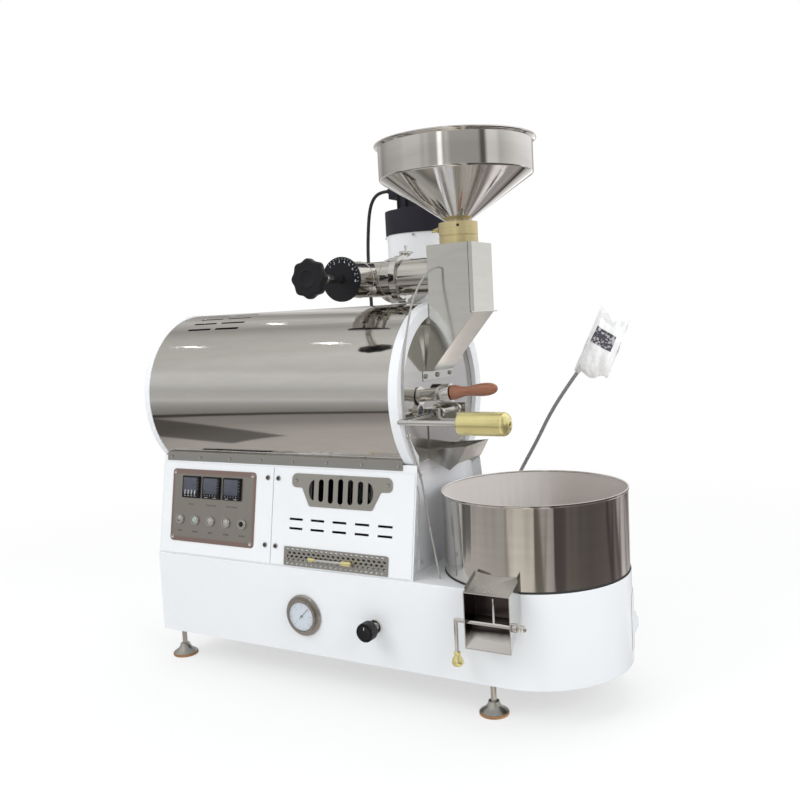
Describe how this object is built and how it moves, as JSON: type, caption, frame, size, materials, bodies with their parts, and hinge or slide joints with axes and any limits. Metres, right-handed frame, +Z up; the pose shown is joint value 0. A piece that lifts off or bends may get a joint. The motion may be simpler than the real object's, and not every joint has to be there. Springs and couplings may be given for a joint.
{
  "type": "drum coffee roaster",
  "caption": "One-kilogram drum coffee roaster: base with round cooling tray, polished barrel, bean hopper and chute, cyclone with fan, weighted discharge door.",
  "frame": {"origin": "on the standing surface, under the axis of the drum and midway along the machine", "axes": "+X along the drum axis towards the cooling tray, -Y towards the operator, +Z up"},
  "size_m": [1.0281, 0.594, 1.074],
  "materials": {
    "white": "white powder coat, satin",
    "steel": "brushed stainless sheet",
    "mirror": "mirror-polished stainless",
    "brass": "polished brass",
    "bronze": "dark bronze plated",
    "black": "black moulded plastic",
    "blackmetal": "black painted metal",
    "castiron": "dark steel",
    "wood": "varnished reddish-brown hardwood",
    "rubber": "black cable sheath",
    "braid": "braided steel sheath",
    "bag": "thin white plastic bag",
    "display": "black controller body and smoked window"
  },
  "bodies": {
    "machine": {"base_housing": "white", "levelling_feet": "bronze", "gauge_case": "mirror", "gas_valve": "mirror", "upper_cabinet": "white", "barrel_cover": "mirror", "rear_ring": "white", "front_ring": "white", "front_plate": "steel", "drum_bearings": "castiron", "drive_motor": "blackmetal", "burner": "castiron", "plate_fittings": "mirror", "discharge_spout": "steel", "chute": "steel", "hopper": "mirror", "hopper_collar": "brass", "exhaust_tee": "mirror", "pipe_clamp": "mirror", "damper_dial": "black", "cyclone_body": "white", "fan_housing": "blackmetal", "fan_motor": "blackmetal", "motor_cable": "rubber", "probe_cable": "braid", "sensor_cable": "rubber", "tray_wall": "mirror", "tray_floor": "steel", "tray_works": "blackmetal", "discharge_box": "steel", "lamp_foot": "black"},
    "control_door": {"control_door": "white", "control_plate": "steel", "displays": "display"},
    "vent_door": {"vent_door": "white", "vent_plate": "steel"},
    "ash_flap": {"ash_flap": "white"},
    "drum": {"drum": "castiron"},
    "gauge_needle": {"gauge_needle": "black"},
    "gas_knob": {"gas_knob": "black"},
    "nose_hatch": {"nose_hatch": "white"},
    "tryer": {"tryer_scoop": "mirror", "tryer_handle": "wood"},
    "discharge": {"discharge_lever": "mirror", "discharge_weight": "brass", "discharge_door": "steel"},
    "feed_gate": {"feed_gate": "brass"},
    "damper": {"damper_valve": "mirror", "damper_knob": "black"},
    "fan_wheel": {"fan_wheel": "castiron"},
    "agitator": {"agitator": "steel"},
    "tray_lever": {"tray_lever": "steel"},
    "tray_gate": {"tray_gate": "steel"},
    "lamp": {"lamp_arm": "blackmetal", "lamp_bag": "bag"},
    "button_1": {"button_1": "mirror"},
    "button_2": {"button_2": "mirror"},
    "button_3": {"button_3": "mirror"},
    "button_4": {"button_4": "mirror"},
    "button_5": {"button_5": "mirror"}
  },
  "joints": [
    {"name": "control_door_hinge", "type": "hinge", "parent": "machine", "child": "control_door", "pos_m": [-0.499, -0.16006, 0.34574], "axis": [0, -0.1771, -0.9842], "range_deg": [0, 100]},
    {"name": "vent_door_hinge", "type": "hinge", "parent": "machine", "child": "vent_door", "pos_m": [0.145, -0.16006, 0.34574], "axis": [0, 0.1771, 0.9842], "range_deg": [0, 95]},
    {"name": "ash_flap_hinge", "type": "hinge", "parent": "vent_door", "child": "ash_flap", "pos_m": [-0.03, -0.17883, 0.25157], "axis": [1, 0, 0], "range_deg": [0, 80]},
    {"name": "drum_spin", "type": "hinge", "parent": "machine", "child": "drum", "pos_m": [0, 0, 0.588], "axis": [1, 0, 0], "continuous": true},
    {"name": "gauge_pointer", "type": "hinge", "parent": "machine", "child": "gauge_needle", "pos_m": [-0.109, -0.188, 0.151], "axis": [0, -1, 0], "range_deg": [-90, 180]},
    {"name": "gas_knob_turn", "type": "hinge", "parent": "machine", "child": "gas_knob", "pos_m": [0.062, -0.21, 0.151], "axis": [0, -1, 0], "range_deg": [0, 270]},
    {"name": "nose_hatch_hinge", "type": "hinge", "parent": "machine", "child": "nose_hatch", "pos_m": [0.45243, 0.13092, 0.15], "axis": [0, 0, 1], "range_deg": [0, 100]},
    {"name": "tryer_slide", "type": "slide", "parent": "machine", "child": "tryer", "axis": [0.9965, 0, 0.0837], "range_m": [0, 0.15]},
    {"name": "discharge_swing", "type": "hinge", "parent": "machine", "child": "discharge", "pos_m": [0.15, 0, 0.551], "axis": [0, -1, 0], "range_deg": [0, 50]},
    {"name": "feed_gate_turn", "type": "hinge", "parent": "machine", "child": "feed_gate", "pos_m": [0.1895, 0, 0.909], "axis": [0, 0, 1], "range_deg": [-90, 0]},
    {"name": "damper_turn", "type": "hinge", "parent": "machine", "child": "damper", "pos_m": [-0.015, -0.1, 0.822], "axis": [0, -1, 0], "range_deg": [0, 180]},
    {"name": "fan_spin", "type": "hinge", "parent": "machine", "child": "fan_wheel", "pos_m": [-0.015, 0.25, 0.96], "axis": [0, 0, 1], "continuous": true},
    {"name": "agitator_spin", "type": "hinge", "parent": "machine", "child": "agitator", "pos_m": [0.326, 0, 0.27], "axis": [0, 0, 1], "continuous": true},
    {"name": "tray_lever_turn", "type": "hinge", "parent": "machine", "child": "tray_lever", "pos_m": [0.32, -0.214, 0.2], "axis": [1, 0, 0], "range_deg": [0, 18]},
    {"name": "tray_gate_swing", "type": "hinge", "parent": "machine", "child": "tray_gate", "pos_m": [0.321, -0.1792, 0.2728], "axis": [-1, 0, 0], "range_deg": [0, 38]},
    {"name": "lamp_bend", "type": "hinge", "parent": "machine", "child": "lamp", "pos_m": [0.18, 0.165, 0.2643], "axis": [0, 1, 0], "range_deg": [-30, 3]},
    {"name": "button_1_press", "type": "slide", "parent": "control_door", "child": "button_1", "axis": [0, 0.9842, -0.1771], "range_m": [0, 0.003], "stiffness_N_per_m": 300},
    {"name": "button_2_press", "type": "slide", "parent": "control_door", "child": "button_2", "axis": [0, 0.9842, -0.1771], "range_m": [0, 0.003], "stiffness_N_per_m": 300},
    {"name": "button_3_press", "type": "slide", "parent": "control_door", "child": "button_3", "axis": [0, 0.9842, -0.1771], "range_m": [0, 0.003], "stiffness_N_per_m": 300},
    {"name": "button_4_press", "type": "slide", "parent": "control_door", "child": "button_4", "axis": [0, 0.9842, -0.1771], "range_m": [0, 0.003], "stiffness_N_per_m": 300},
    {"name": "button_5_press", "type": "slide", "parent": "control_door", "child": "button_5", "axis": [0, 0.9842, -0.1771], "range_m": [0, 0.003], "stiffness_N_per_m": 300}
  ],
  "couplings": [
    {"joint": "tray_gate_swing", "follows": "tray_lever_turn", "ratio": 2.1}
  ]
}
